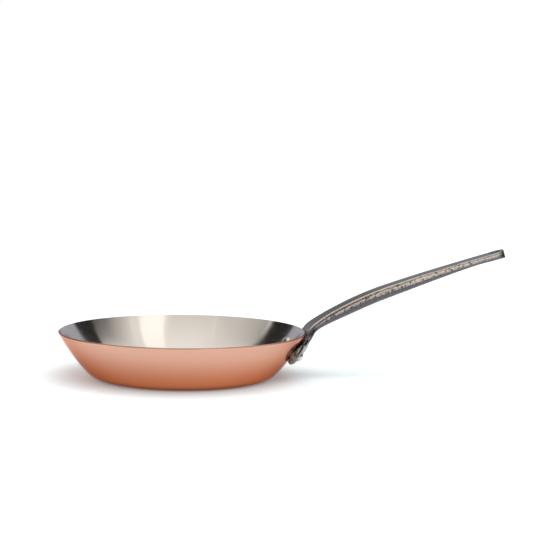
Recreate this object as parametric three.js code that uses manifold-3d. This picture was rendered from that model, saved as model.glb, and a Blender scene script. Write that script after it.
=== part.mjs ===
// Copper frying pan lined with steel, with a cast-iron handle held by three rivets.
// Millimetres, Z up. The underside of the base lies on z = 0 and the handle points along +X.
import * as THREE from "three";
import { mergeVertices } from "three/addons/utils/BufferGeometryUtils.js";
import Module from "manifold-3d";

// Pan body: outside sizes, with the rim measured at its outer edge, then the layers of the sheet from the outside in.
const RIM_DIAMETER = 243.5;
const BASE_DIAMETER = 158.6;
const PAN_HEIGHT = 45.1;
const CORNER_RADIUS = 20.8;
const CORNER_SWEEP = THREE.MathUtils.degToRad(47);
const COPPER_SHEET = 1.7;
const BOND_GAP = 0.05;
const STEEL_SHEET = 0.25;
const RIM_BREAK = 0.4;

// Rivets: one in each ear of the handle's flange, and one lower in the middle.
const SHANK_DIAMETER = 6;
const HEAD_DIAMETER = 14;
const HEAD_HEIGHT = 3;
const TAIL_DIAMETER = 8.4;
const TAIL_HEIGHT = 3;
const RIVET_PLAY = 0.15;
const EAR_RIVET_HEIGHT = 28.3;
const EAR_RIVET_SPREAD = 66;
const LOW_RIVET_HEIGHT = 23.8;

// Flange of the handle: a winged plate that lies round the wall.
const SEAT_GAP = 0.3;
const FLANGE_THICKNESS = 8.2;
const EAR_THICKNESS = 7.2;
const EAR_RADIUS = 11.8;
const FOOT_DEPTH = 10.5;
const SHOULDER_RISE = 5;
const SHOULDER_START = 14;
const SHOULDER_END = 30;
const FLANGE_SQUARENESS = 3.5;
const SPOT_FACE_MARGIN = 0.6;
const SPOT_FACE_DEPTH = 0.4;

// Neck and grip, which run on from the flange in the same casting.
const ROOT_WIDTH = 41;
const ROOT_FLARE = 17;
const NECK_THICKNESS = 7.9;
const BEND_THICKNESS = 9.2;
const GRIP_WIDTH = 23.8;
const GRIP_THICKNESS = 12.8;
const GRIP_CROWN = 0.4;
const GRIP_SQUARENESS = 2.3;
const ARRIS_BAND = 0.7;
const WAIST_THICKNESS = 8.4;
const TIP_WIDTH = 18.8;
const TIP_THICKNESS = 8.6;
const HANDLE_REACH = 197.75;
const HANDLE_RISE = 83;
const EYE_DIAMETER = 8;

// How finely round shapes are cut into flats.
const TURNED_STEPS = 76;
const ARC_STEPS = 5;
const BORE_STEPS = 24;
const FLANGE_STEPS = 36;
const FLANGE_RING_STEPS = 18;
const GRIP_STEPS = 46;
const UNDERSIDE_STEPS = 12;
const TOP_STEPS = 8;

const rimRadius = RIM_DIAMETER / 2;
const baseRadius = BASE_DIAMETER / 2;
const sheet = COPPER_SHEET + BOND_GAP + STEEL_SHEET;
const { lerp, smoothstep } = THREE.MathUtils;

const wasm = await Module();
wasm.setup();

function solidFrom(geometry) {
  const bare = geometry.clone();
  bare.deleteAttribute("normal");
  bare.deleteAttribute("uv");
  const merged = mergeVertices(bare, 1e-4);
  return new wasm.Manifold(
    new wasm.Mesh({
      numProp: 3,
      vertProperties: new Float32Array(merged.attributes.position.array),
      triVerts: new Uint32Array(merged.index.array),
    }),
  );
}

function geometryFrom(solid) {
  const mesh = solid.getMesh();
  const geometry = new THREE.BufferGeometry();
  geometry.setAttribute("position", new THREE.BufferAttribute(mesh.vertProperties, 3));
  geometry.setIndex(new THREE.BufferAttribute(mesh.triVerts, 1));
  geometry.computeVertexNormals();
  return geometry;
}

function cut(solid, cutters) {
  return cutters.reduce((rest, cutter) => rest.subtract(cutter), solid);
}

// The wall is one arc that runs on from the corner arc and ends at the rim.
const cornerEnd = new THREE.Vector2(
  baseRadius + CORNER_RADIUS * Math.sin(CORNER_SWEEP),
  CORNER_RADIUS * (1 - Math.cos(CORNER_SWEEP)),
);
const wallChord = new THREE.Vector2(rimRadius, PAN_HEIGHT).sub(cornerEnd);
const wallRadius = wallChord.length() / (2 * Math.sin(wallChord.angle() - CORNER_SWEEP));
const wallCentre = new THREE.Vector2(
  cornerEnd.x - wallRadius * Math.sin(CORNER_SWEEP),
  cornerEnd.y + wallRadius * Math.cos(CORNER_SWEEP),
);

// The wall's outside radius and its tilt at a height.
function wallAt(height) {
  const tilt = Math.asin((height - wallCentre.y) / wallRadius);
  return { radius: wallCentre.x + wallRadius * Math.cos(tilt), tilt };
}

// A point of the wall's profile at a tilt, on the surface that lies inset from the outside.
function wallPoint(tilt, inset) {
  const reach = wallRadius - inset;
  return new THREE.Vector2(wallCentre.x + reach * Math.cos(tilt), wallCentre.y + reach * Math.sin(tilt));
}

// Half profile from the axis to just short of the rim, on the surface that lies inset from the outside.
// All these lines end at one tilt, because the rim is cut square to the sheet.
const rimTilt = wallAt(PAN_HEIGHT).tilt;
function dishLine(inset, short = 0) {
  const line = [new THREE.Vector2(0, inset)];
  for (let i = 0; i <= ARC_STEPS; i++) {
    const turn = (CORNER_SWEEP * i) / ARC_STEPS;
    const reach = CORNER_RADIUS - inset;
    line.push(new THREE.Vector2(baseRadius + reach * Math.sin(turn), CORNER_RADIUS - reach * Math.cos(turn)));
  }
  const start = CORNER_SWEEP - Math.PI / 2;
  const end = rimTilt - short / wallRadius;
  for (let i = 1; i <= ARC_STEPS; i++) {
    line.push(wallPoint(lerp(start, end, i / ARC_STEPS), inset));
  }
  return line;
}

function turned(profile, steps) {
  const points = profile.map((p) => new THREE.Vector2(Math.max(p.x, 0), p.y));
  return new THREE.LatheGeometry(points, steps).rotateX(Math.PI / 2);
}

// A layer of the sheet, with the outer edge of its rim broken by a small flat.
function dishShell(outerInset, innerInset, rimBreak) {
  const outside = dishLine(outerInset, rimBreak);
  const flatEnd = wallPoint(rimTilt, outerInset + rimBreak);
  const inside = dishLine(innerInset).reverse();
  return turned([...outside, flatEnd, ...inside], TURNED_STEPS);
}

// A point near the wall: distance round it, distance up it from the low rivet, and distance out of it.
const seatRadius = wallAt(EAR_RIVET_HEIGHT).radius;
const lowTilt = wallAt(LOW_RIVET_HEIGHT).tilt;
function onWall(sideways, up, out) {
  const tilt = lowTilt + up / wallRadius;
  const around = sideways / seatRadius;
  const radius = wallCentre.x + (wallRadius + out) * Math.cos(tilt);
  const height = wallCentre.y + (wallRadius + out) * Math.sin(tilt);
  return new THREE.Vector3(radius * Math.cos(around), radius * Math.sin(around), height);
}

// How far the ears' rivets and the rim lie up the wall from the low rivet.
const earUp = (wallAt(EAR_RIVET_HEIGHT).tilt - lowTilt) * wallRadius;
const rimUp = (rimTilt - lowTilt) * wallRadius;
const earReach = EAR_RIVET_SPREAD / 2;

// The flange's thickness at a distance to the side: thick in the middle, thinner at the ears.
function plateThickness(sideways) {
  return lerp(FLANGE_THICKNESS, EAR_THICKNESS, smoothstep(Math.abs(sideways), GRIP_WIDTH / 2, earReach));
}

// A rivet's place: its point on the outside of the wall, the turn that lays local +Z along its outward axis,
// and how far out of the wall its tail is seated.
function rivetPlace(sideways, up) {
  const point = onWall(sideways, up, 0);
  const outward = onWall(sideways, up, 1).sub(point);
  const turn = new THREE.Quaternion().setFromUnitVectors(new THREE.Vector3(0, 0, 1), outward);
  const seat = SEAT_GAP + plateThickness(sideways) - SPOT_FACE_DEPTH;
  return { point, turn, seat };
}

const rivets = {
  rivet_left: rivetPlace(earReach, earUp),
  rivet_right: rivetPlace(-earReach, earUp),
  rivet_low: rivetPlace(0, 0),
};

// A straight round cutter on a rivet's axis, between two distances from the outside of the wall.
function boreAt(place, diameter, from, to) {
  const bore = new THREE.CylinderGeometry(diameter / 2, diameter / 2, to - from, BORE_STEPS);
  bore.rotateX(Math.PI / 2).translate(0, 0, (from + to) / 2);
  bore.applyQuaternion(place.turn).translate(place.point.x, place.point.y, place.point.z);
  return solidFrom(bore);
}

const boreDiameter = SHANK_DIAMETER + 2 * RIVET_PLAY;
const shankBores = Object.values(rivets).map((place) => boreAt(place, boreDiameter, -3 * sheet, 2 * place.seat));

function copperBody() {
  const blank = solidFrom(dishShell(0, COPPER_SHEET, RIM_BREAK));
  return geometryFrom(cut(blank, shankBores));
}

function steelLining() {
  const blank = solidFrom(dishShell(COPPER_SHEET + BOND_GAP, sheet, STEEL_SHEET / 4));
  return geometryFrom(cut(blank, shankBores));
}

// Domed head inside the pan, shank, and the tail set down on the handle's flange.
function rivet(seat) {
  const headSag = HEAD_DIAMETER ** 2 / (8 * (wallAt(LOW_RIVET_HEIGHT).radius - sheet));
  const headFace = -sheet - headSag - RIVET_PLAY;
  const tailFace = seat + RIVET_PLAY;
  const profile = [new THREE.Vector2(0, headFace - HEAD_HEIGHT)];
  for (let i = 1; i <= ARC_STEPS; i++) {
    const angle = (Math.PI / 2) * (i / ARC_STEPS);
    profile.push(new THREE.Vector2((HEAD_DIAMETER / 2) * Math.sin(angle), headFace - HEAD_HEIGHT * Math.cos(angle)));
  }
  profile.push(new THREE.Vector2(SHANK_DIAMETER / 2, headFace));
  profile.push(new THREE.Vector2(SHANK_DIAMETER / 2, tailFace));
  for (let i = 0; i <= ARC_STEPS; i++) {
    const angle = (Math.PI / 2) * (i / ARC_STEPS);
    profile.push(new THREE.Vector2((TAIL_DIAMETER / 2) * Math.cos(angle), tailFace + TAIL_HEIGHT * Math.sin(angle)));
  }
  return turned(profile, BORE_STEPS);
}

// A closed skin through rings of equal count, with a fan over each end.
function loft(rings) {
  const count = rings[0].length;
  const points = rings.flat();
  const faces = [];
  for (let r = 0; r + 1 < rings.length; r++) {
    for (let i = 0; i < count; i++) {
      const here = r * count + i;
      const next = r * count + ((i + 1) % count);
      faces.push(here, here + count, next, next, here + count, next + count);
    }
  }
  for (const [first, flip] of [[0, false], [(rings.length - 1) * count, true]]) {
    const middle = new THREE.Vector3();
    for (let i = 0; i < count; i++) middle.addScaledVector(points[first + i], 1 / count);
    const hub = points.push(middle) - 1;
    for (let i = 0; i < count; i++) {
      const pair = [first + i, first + ((i + 1) % count)];
      faces.push(hub, ...(flip ? pair.reverse() : pair));
    }
  }
  const geometry = new THREE.BufferGeometry().setFromPoints(points);
  geometry.setIndex(faces);
  return geometry;
}

// Half of a rounded square: across runs from 1 to -1, and rise from 0 up to 1 and back.
function roundedArc(share, squareness) {
  const angle = Math.PI * share;
  const across = Math.sign(Math.cos(angle)) * Math.abs(Math.cos(angle)) ** (2 / squareness);
  return { across, rise: Math.abs(Math.sin(angle)) ** (2 / squareness) };
}

// The flange's lower and upper edge at a distance to the side: round ears, a low foot and filleted shoulders.
function flangeEdges(sideways) {
  const distance = Math.abs(sideways);
  const ear = Math.sqrt(Math.max(EAR_RADIUS ** 2 - Math.max(distance - earReach, 0) ** 2, 0));
  const foot = 1 - smoothstep(distance, 0, earReach);
  const shoulder = 1 - smoothstep(distance, SHOULDER_START, SHOULDER_END);
  return { low: lerp(earUp - ear, -FOOT_DEPTH, foot), high: earUp + ear + SHOULDER_RISE * shoulder };
}

function flangeRing(sideways) {
  const { low, high } = flangeEdges(sideways);
  const face = SEAT_GAP + plateThickness(sideways);
  const ring = [];
  for (let i = 0; i <= FLANGE_RING_STEPS; i++) {
    const { across, rise } = roundedArc(i / FLANGE_RING_STEPS, FLANGE_SQUARENESS);
    ring.push(onWall(sideways, lerp(high, low, (1 + across) / 2), lerp(-sheet, face, rise)));
  }
  return ring;
}

function flange() {
  const rings = [];
  for (let i = 1; i < FLANGE_STEPS; i++) {
    const angle = Math.PI * (i / FLANGE_STEPS - 0.5);
    rings.push(flangeRing((earReach + EAR_RADIUS) * Math.sin(angle)));
  }
  return loft(rings);
}

// The handle's back line: up the wall from the low rivet, over the bend past the rim, then out to the tip.
function pastRim(out, up) {
  return new THREE.Vector3(rimRadius + out * HANDLE_REACH, 0, PAN_HEIGHT + up * HANDLE_RISE);
}

const backLine = new THREE.CatmullRomCurve3([
  onWall(0, 0, 0),
  onWall(0, 0.5 * rimUp, 0),
  onWall(0, rimUp, SEAT_GAP),
  pastRim(0.021, 0.077),
  pastRim(0.072, 0.179),
  pastRim(0.193, 0.343),
  pastRim(0.32, 0.483),
  pastRim(0.497, 0.633),
  pastRim(0.75, 0.824),
  pastRim(1, 1),
]);
backLine.arcLengthDivisions = 800;
const backLength = backLine.getLength();
const tipHalf = TIP_WIDTH / 2;

// Half the width of neck and grip at a distance along the back line: it narrows fast from the rim, then tapers.
function halfWidth(along) {
  const flare = Math.exp(-Math.max(along - rimUp, 0) / ROOT_FLARE);
  const grip = lerp(GRIP_WIDTH, TIP_WIDTH, smoothstep(along, 0.35 * backLength, 0.8 * backLength));
  return lerp(grip, ROOT_WIDTH, flare) / 2;
}

// The depth of neck and grip below the back line.
function depth(along) {
  const share = along / backLength;
  const root = 0.85 * FLANGE_THICKNESS;
  const neck = lerp(root, NECK_THICKNESS, smoothstep(along, 0.1 * rimUp, 0.5 * rimUp));
  const bend = lerp(neck, BEND_THICKNESS, smoothstep(along, 0.9 * rimUp, 1.35 * rimUp));
  const grip = lerp(bend, GRIP_THICKNESS, smoothstep(share, 0.17, 0.28));
  const waist = lerp(grip, WAIST_THICKNESS, smoothstep(share, 0.4, 0.92));
  return lerp(waist, TIP_THICKNESS, smoothstep(share, 0.92, 1));
}

// One closed ring of neck and grip: the crowned back first, then the rounded underside.
function gripRing(along) {
  const point = backLine.getPointAt(along / backLength);
  const ahead = backLine.getTangentAt(along / backLength);
  const down = new THREE.Vector3(ahead.z, 0, -ahead.x);
  const half = halfWidth(along);
  const wrap = -(half ** 2) / (2 * seatRadius);
  const crown = lerp(wrap, GRIP_CROWN, smoothstep(along, 0.9 * rimUp, 2 * rimUp));
  const ring = [];
  const add = (side, fall) => ring.push(point.clone().addScaledVector(down, fall).setY(side * half));
  for (let i = 0; i <= TOP_STEPS; i++) {
    const side = lerp(-1, 1, i / TOP_STEPS);
    add(side, crown * side ** 2);
  }
  for (let i = 0; i <= UNDERSIDE_STEPS; i++) {
    const { across, rise } = roundedArc(i / UNDERSIDE_STEPS, GRIP_SQUARENESS);
    add(across, lerp(crown + ARRIS_BAND, depth(along), rise));
  }
  return ring;
}

function grip() {
  const rings = [];
  for (let i = 0; i <= GRIP_STEPS; i++) {
    rings.push(gripRing(backLength * (i / GRIP_STEPS) ** 1.5));
  }
  return loft(rings);
}

// Lays a shape drawn along and across the handle square to its back at a distance along it.
function layOnBack(geometry, along) {
  const share = along / backLength;
  const ahead = backLine.getTangentAt(share);
  const up = new THREE.Vector3(-ahead.z, 0, ahead.x);
  const basis = new THREE.Matrix4().makeBasis(ahead, new THREE.Vector3(0, 1, 0), up);
  basis.setPosition(backLine.getPointAt(share));
  return geometry.applyMatrix4(basis);
}

// What is cut away around the half-round end of the grip.
function tipTrim() {
  const reach = 2 * TIP_WIDTH;
  const outline = new THREE.Shape();
  outline.moveTo(0, -reach).lineTo(reach, -reach).lineTo(reach, reach).lineTo(0, reach).lineTo(0, tipHalf);
  outline.absarc(0, 0, tipHalf, Math.PI / 2, -Math.PI / 2, true);
  outline.closePath();
  const height = 4 * TIP_THICKNESS;
  const block = new THREE.ExtrudeGeometry(outline, { depth: height, bevelEnabled: false, curveSegments: BORE_STEPS });
  return layOnBack(block.translate(0, 0, -height / 2), backLength - tipHalf);
}

function hangingEye() {
  const bore = new THREE.CylinderGeometry(EYE_DIAMETER / 2, EYE_DIAMETER / 2, 4 * TIP_THICKNESS, BORE_STEPS);
  return layOnBack(bore.rotateX(Math.PI / 2), backLength - tipHalf);
}

// The casting: flange and grip in one, fitted round the pan, with its end, eye and rivet seats machined.
function handle() {
  const casting = solidFrom(flange()).add(solidFrom(grip()));
  const rimTop = wallPoint(rimTilt + SEAT_GAP / wallRadius, sheet);
  const panLine = [...dishLine(-SEAT_GAP, -SEAT_GAP), rimTop, new THREE.Vector2(0, rimTop.y)];
  const panSpace = turned(panLine, TURNED_STEPS);
  const spotDiameter = TAIL_DIAMETER + 2 * SPOT_FACE_MARGIN;
  const spotFaces = Object.values(rivets).map((place) =>
    boreAt(place, spotDiameter, place.seat, place.seat + 2 * TAIL_HEIGHT),
  );
  const shapes = [panSpace, tipTrim(), hangingEye()].map(solidFrom);
  return geometryFrom(cut(casting, [...shapes, ...spotFaces, ...shankBores]));
}

const copper = new THREE.MeshStandardMaterial({ color: 0xd08a6a, metalness: 1, roughness: 0.32 });
const brushedSteel = new THREE.MeshStandardMaterial({ color: 0xc9c6c1, metalness: 1, roughness: 0.3 });
const castIron = new THREE.MeshStandardMaterial({ color: 0x57545a, metalness: 0.7, roughness: 0.55 });
const rivetSteel = new THREE.MeshStandardMaterial({ color: 0xd2ccc2, metalness: 1, roughness: 0.25 });

function piece(name, geometry, material) {
  const mesh = new THREE.Mesh(geometry, material);
  mesh.name = name;
  return mesh;
}

const pan = new THREE.Group();
pan.name = "frying_pan";
pan.add(piece("copper_body", copperBody(), copper));
pan.add(piece("steel_lining", steelLining(), brushedSteel));
pan.add(piece("handle", handle(), castIron));
for (const [name, place] of Object.entries(rivets)) {
  const mesh = piece(name, rivet(place.seat), rivetSteel);
  mesh.position.copy(place.point);
  mesh.quaternion.copy(place.turn);
  pan.add(mesh);
}

export default pan;
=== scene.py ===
"""A copper frying pan with a brushed steel lining and a riveted cast-iron handle, on a pale studio floor."""

import math

import bmesh
import bpy
import numpy as np
from bpy.props import FloatProperty, FloatVectorProperty, PointerProperty
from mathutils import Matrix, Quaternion, Vector, noise


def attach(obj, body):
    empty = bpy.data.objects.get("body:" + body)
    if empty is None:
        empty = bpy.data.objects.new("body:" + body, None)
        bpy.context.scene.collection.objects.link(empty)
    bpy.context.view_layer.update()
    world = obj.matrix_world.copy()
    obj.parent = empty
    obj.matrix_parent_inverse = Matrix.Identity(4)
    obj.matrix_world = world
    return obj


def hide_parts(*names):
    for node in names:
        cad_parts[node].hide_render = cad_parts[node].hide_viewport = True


bl_info = {
    "name": "Copper frying pan",
    "version": (1, 0, 0),
    "blender": (4, 5, 0),
    "location": "View3D > Sidebar > Pan",
    "description": "Builds a lined copper frying pan with a cast-iron handle, and the studio around it",
    "category": "Add Mesh",
}

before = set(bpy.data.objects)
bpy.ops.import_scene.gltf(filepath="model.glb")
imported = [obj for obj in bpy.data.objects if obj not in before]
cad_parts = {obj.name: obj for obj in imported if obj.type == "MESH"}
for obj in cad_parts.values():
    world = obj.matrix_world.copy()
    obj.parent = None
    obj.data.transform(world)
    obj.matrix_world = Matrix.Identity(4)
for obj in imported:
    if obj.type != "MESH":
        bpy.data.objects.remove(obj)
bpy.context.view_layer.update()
MM = 0.001


def linear(hex_colour):
    """An sRGB hex colour as linear red, green and blue."""
    parts = [int(hex_colour[i : i + 2], 16) / 255 for i in (1, 3, 5)]
    return tuple(c / 12.92 if c <= 0.04045 else ((c + 0.055) / 1.055) ** 2.4 for c in parts)


def length(name, description, millimetres):
    return FloatProperty(
        name=name, description=description, default=millimetres * MM, unit="LENGTH", precision=5
    )


def colour(name, description, hex_colour):
    return FloatVectorProperty(
        name=name, description=description, default=linear(hex_colour), subtype="COLOR"
    )


class PanSizes(bpy.types.PropertyGroup):
    rim_diameter: length("Rim diameter", "Outside diameter of the pan at its rim", 243.5)
    base_diameter: length("Base diameter", "Diameter of the flat underside", 158.6)
    height: length("Height", "From the floor to the rim's outer edge", 45.1)
    corner_radius: length("Corner radius", "Outside radius between base and wall", 20.8)
    corner_sweep: FloatProperty(
        name="Corner sweep",
        description="How far the corner turns up",
        default=math.radians(47),
        subtype="ANGLE",
    )
    copper_sheet: length("Copper sheet", "Thickness of the copper", 1.7)
    steel_sheet: length("Steel sheet", "Thickness of the lining", 0.25)
    rim_ease: length("Rim rounding", "How far the rim's edges are rounded", 0.4)


class HandleSizes(bpy.types.PropertyGroup):
    reach: length("Reach", "From the rim to the tip", 197.75)
    rise: length("Rise", "From the rim's height to the tip", 83)
    flange_thickness: length("Flange thickness", "Thickness of the flange in its middle", 8.2)
    ear_thickness: length("Ear thickness", "Thickness of the flange at its ears", 7.2)
    ear_radius: length("Ear radius", "Radius of the flange's round ears", 11.8)
    root_width: length("Root width", "Width where the neck leaves the rim", 41)
    grip_width: length("Grip width", "Width of the grip", 23.8)
    grip_thickness: length("Grip thickness", "Greatest thickness of the grip", 12.8)
    tip_width: length("Tip width", "Width of the round tip", 18.8)
    eye_diameter: length("Eye diameter", "Diameter of the hanging eye", 8)
    pebble_depth: length("Pebble depth", "Depth of the as-cast pebbling on sides and underside", 0.5)


class RivetSizes(bpy.types.PropertyGroup):
    head_diameter: length("Head diameter", "Diameter of the domed head inside the pan", 14)
    head_height: length("Head height", "Height of the domed head", 3)
    tail_diameter: length("Tail diameter", "Diameter of the tail on the flange", 8.4)
    tail_height: length("Tail height", "Height of the tail", 3)
    shank_diameter: length("Shank diameter", "Diameter of the shank", 6)
    ear_spread: length("Ear spread", "Distance between the two ear rivets, round the wall", 66)
    ear_height: length("Ear rivet height", "Height of the ear rivets above the floor", 28.3)
    low_height: length("Low rivet height", "Height of the middle rivet above the floor", 23.8)


class PanColours(bpy.types.PropertyGroup):
    copper: colour("Copper", "Polished copper of the wall", "#dba994")
    # The warm copper round the base is a painted reflection of the shaded floor and of copper-tinted bounce
    # light.
    warm_copper: colour("Warm copper", "Copper round the base, tinted by heat", "#e49065")
    steel: colour("Steel", "Brushed steel of the lining", "#e1d8ce")
    ground_iron: colour("Ground iron", "Smooth ground back of the handle", "#88847f")
    cast_iron: colour("Cast iron", "As-cast sides of the handle", "#746e74")
    # Rubbed iron stands for edges rubbed bright by use, and also for painted highlights on the arris, the
    # shoulder and high pebbles.
    rubbed_iron: colour("Rubbed iron", "Iron rubbed bright on the handle's edges", "#d2c8bc")
    rivet: colour("Rivet", "Polished steel of the rivets", "#dcd0c0")
    floor: colour("Floor", "Pale studio floor", "#eaf1f3")


def lerp(low, high, share):
    """The value that lies a share of the way from low to high."""
    return low + (high - low) * share


def smoothstep(value, span, scale=1):
    """How far a value has come over a span times a scale, from 0 to 1, with a soft start and end."""
    low, high = span[0] * scale, span[1] * scale
    share = min(max((value - low) / (high - low), 0), 1)
    return share * share * (3 - 2 * share)


# Mesh making

def new_piece(name, points, faces, materials, slots=None):
    """A smooth closed mesh object with outward normals, and a material slot for each face."""
    mesh = bpy.data.meshes.new(name)
    mesh.from_pydata([tuple(p) for p in points], [], faces)
    for material in materials:
        mesh.materials.append(material)
    if slots is not None:
        mesh.polygons.foreach_set("material_index", slots)
    shell = bmesh.new()
    shell.from_mesh(mesh)
    bmesh.ops.recalc_face_normals(shell, faces=shell.faces)
    shell.to_mesh(mesh)
    shell.free()
    mesh.shade_smooth()
    piece = bpy.data.objects.new(name, mesh)
    bpy.context.scene.collection.objects.link(piece)
    return piece


def turned(line, steps):
    """Points and faces of a half section turned round the axis, on which it starts and ends."""
    turns = np.linspace(0, 2 * math.pi, steps, endpoint=False)
    points = [(0, 0, line[0][1]), (0, 0, line[-1][1])]
    first = len(points)
    for radius, height in line[1:-1]:
        points += [(radius * math.cos(a), radius * math.sin(a), height) for a in turns]
    last = len(points) - steps
    faces = []
    for i in range(steps):
        j = (i + 1) % steps
        faces += [(0, first + j, first + i), (1, last + i, last + j)]
        for row in range(first, last, steps):
            faces.append((row + i, row + j, row + steps + j, row + steps + i))
    return points, faces


def lofted(rings):
    """Points and faces of a skin through rings of equal count, with a fan over each end."""
    count = len(rings[0])
    points = [p for ring in rings for p in ring]
    faces = []
    for row in range(0, (len(rings) - 1) * count, count):
        for i in range(count):
            j = (i + 1) % count
            faces.append((row + i, row + j, row + count + j, row + count + i))
    for first in (0, (len(rings) - 1) * count):
        hub = len(points)
        points.append(np.mean(points[first : first + count], axis=0))
        faces += [(first + i, first + (i + 1) % count, hub) for i in range(count)]
    return points, faces


def eased(corner, before, after, radius, steps=6):
    """A short curve in place of a corner of a section."""
    start = corner + (before - corner) * radius / np.linalg.norm(before - corner)
    end = corner + (after - corner) * radius / np.linalg.norm(after - corner)
    shares = np.linspace(0, 1, steps)[:, None]
    return (1 - shares) ** 2 * start + 2 * shares * (1 - shares) * corner + shares**2 * end


def combined(piece, other, operation):
    """Joins another piece to this one, or cuts it away, and removes the other."""
    change = piece.modifiers.new("combine", "BOOLEAN")
    change.object = other
    change.operation = operation
    change.solver = "EXACT"
    graph = bpy.context.evaluated_depsgraph_get()
    mesh = bpy.data.meshes.new_from_object(piece.evaluated_get(graph))
    piece.modifiers.clear()
    old = piece.data
    mesh.name = old.name
    piece.data = mesh
    bpy.data.meshes.remove(old)
    bpy.data.objects.remove(other)
    if not len(mesh.polygons):
        raise RuntimeError(f"nothing is left of {piece.name}")


# The pan in section

# How finely the dish is turned, and its half section divided along the base and the corner.
DISH_STEPS = 360
BASE_STEPS = 13
CORNER_STEPS = 30

# The gap that stands for the bond between copper and lining, and the rounding of the lining's edge.
BOND_GAP = 0.02 * MM
LINING_EASE = 0.1 * MM


class Dish:
    """The pan's outside: a flat base, a corner arc, and a wall arc that runs on from it to the rim."""

    def __init__(self, size):
        self.size = size
        self.rim = size.rim_diameter / 2
        self.base = size.base_diameter / 2
        sweep, corner = size.corner_sweep, size.corner_radius
        end = np.array([self.base + corner * math.sin(sweep), corner * (1 - math.cos(sweep))])
        chord = np.array([self.rim, size.height]) - end
        lean = math.atan2(chord[1], chord[0])
        self.wall_radius = np.linalg.norm(chord) / (2 * math.sin(lean - sweep))
        self.centre = end + self.wall_radius * np.array([-math.sin(sweep), math.cos(sweep)])
        self.rim_tilt = self.wall(size.height)[1]

    def wall(self, height):
        """The wall's outside radius and tilt at a height."""
        tilt = math.asin((height - self.centre[1]) / self.wall_radius)
        return self.centre[0] + self.wall_radius * math.cos(tilt), tilt

    def place(self, tilt, inset):
        """The point of the section at a tilt of the wall, inset from the outside."""
        return self.centre + (self.wall_radius - inset) * np.array([math.cos(tilt), math.sin(tilt)])

    def line(self, inset, short=0.0):
        """Half section from the axis to this far short of the rim, inset from the outside."""
        flat = [(self.base * share, inset) for share in np.linspace(0, 1, BASE_STEPS, endpoint=False)]
        turns = np.linspace(0, self.size.corner_sweep, CORNER_STEPS)
        radius = self.size.corner_radius
        corner = radius - inset
        bend = [(self.base + corner * math.sin(t), radius - corner * math.cos(t)) for t in turns]
        end = self.rim_tilt - short / self.wall_radius
        tilts = np.linspace(self.size.corner_sweep - math.pi / 2, end, 2 * CORNER_STEPS)[1:]
        return np.array(flat + bend + [tuple(self.place(tilt, inset)) for tilt in tilts])

    def shell(self, outer, inner, ease):
        """Closed section of a layer of the sheet, its rim cut square with rounded edges."""
        outside, inside = self.line(outer, 2 * ease), self.line(inner, 2 * ease)
        corners = [self.place(self.rim_tilt, inset) for inset in (outer, inner)]
        outer_lip = eased(corners[0], outside[-1], corners[1], ease)
        inner_lip = eased(corners[1], corners[0], inside[-1], ease)
        return np.vstack([outside, outer_lip, inner_lip, inside[::-1]])


class Seat:
    """Places on the wall under the handle, as distances round it, up it from the low rivet, and out of it."""

    def __init__(self, dish, rivets):
        self.dish = dish
        self.radius, ear_tilt = dish.wall(rivets.ear_height)
        self.low_tilt = dish.wall(rivets.low_height)[1]
        self.ear_up = (ear_tilt - self.low_tilt) * dish.wall_radius
        self.rim_up = (dish.rim_tilt - self.low_tilt) * dish.wall_radius
        self.ear_reach = rivets.ear_spread / 2

    def point(self, sideways, up, out):
        tilt = self.low_tilt + up / self.dish.wall_radius
        around = sideways / self.radius
        reach = self.dish.wall_radius + out
        radius = self.dish.centre[0] + reach * math.cos(tilt)
        height = self.dish.centre[1] + reach * math.sin(tilt)
        return np.array([radius * math.cos(around), radius * math.sin(around), height])

    def plate(self, handle, sideways):
        """The flange's thickness at a distance to the side."""
        share = smoothstep(abs(sideways), (handle.grip_width / 2, self.ear_reach))
        return lerp(handle.flange_thickness, handle.ear_thickness, share)


def sizes():
    """The dish, the handle's seat on it, and the sizes of handle and rivets."""
    scene = bpy.context.scene
    dish = Dish(scene.pan_sizes)
    return dish, Seat(dish, scene.pan_rivets), scene.pan_handle, scene.pan_rivets


# The handle

# The handle's material slots.
GROUND_SLOT = 0
CAST_SLOT = 1

# The flange: its clearance to the wall, its foot below the low rivet, the fillets that lead up to the neck,
# how square its section is, where its ears turn smooth, as shares of their reach, and its rings.
SEAT_GAP = 0.05 * MM
FOOT_DEPTH = 10.5 * MM
FILLET_RISE = 5 * MM
FILLET_SPREAD = (14 * MM, 30 * MM)
FLANGE_SQUARENESS = 3.5
EAR_SMOOTHS = (0.5, 0.8)
FLANGE_RINGS = 130

# The flats cut into the flange under the rivets' tails.
SPOT_FACE_DEPTH = 0.4 * MM
SPOT_FACE_MARGIN = 0.6 * MM
SPOT_FACE_STEPS = 48

# The outermost rings of flange and tip stop at these shares of a half turn, and keep some width.
FLANGE_END = 0.487
TIP_END = 0.485

# The back: how far it clears the rim, and then its course as shares of the handle's reach and rise.
RIM_CLEARANCE = 0.3 * MM
BACK_SHAPE = [
    (0.021, 0.077),
    (0.072, 0.179),
    (0.193, 0.343),
    (0.32, 0.483),
    (0.497, 0.633),
    (0.75, 0.824),
    (1, 1),
]
SPAN_STEPS = 60

# Places along the neck, as multiples of the rim's distance up from the low rivet.
NECK_THINS = (0.1, 0.5)
CROWN_STARTS = (0.9, 2)
POLISH_AND_HIGHLIGHT_STARTS = (1.05, 1.25)
BEND_THICKENS = (1.1, 1.6)
NECK_ENDS = (1.15, 1.55)

# Places along the whole handle, as shares of the back's length.
GRIP_SWELL_START = 0.16
GRIP_SWELL_RUN = 0.22
GRIP_TAPERS = (0.35, 0.8)
WAIST_THINS = (0.4, 1)
POLISH_AND_HIGHLIGHT_GROWS = (0.3, 0.55)
WEAR_AND_HIGHLIGHT_DEEPENS = (0.3, 0.6)
ARRIS_FADES = (0.45, 0.75)
TIP_SMOOTHS = (0.86, 0.96)

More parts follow.
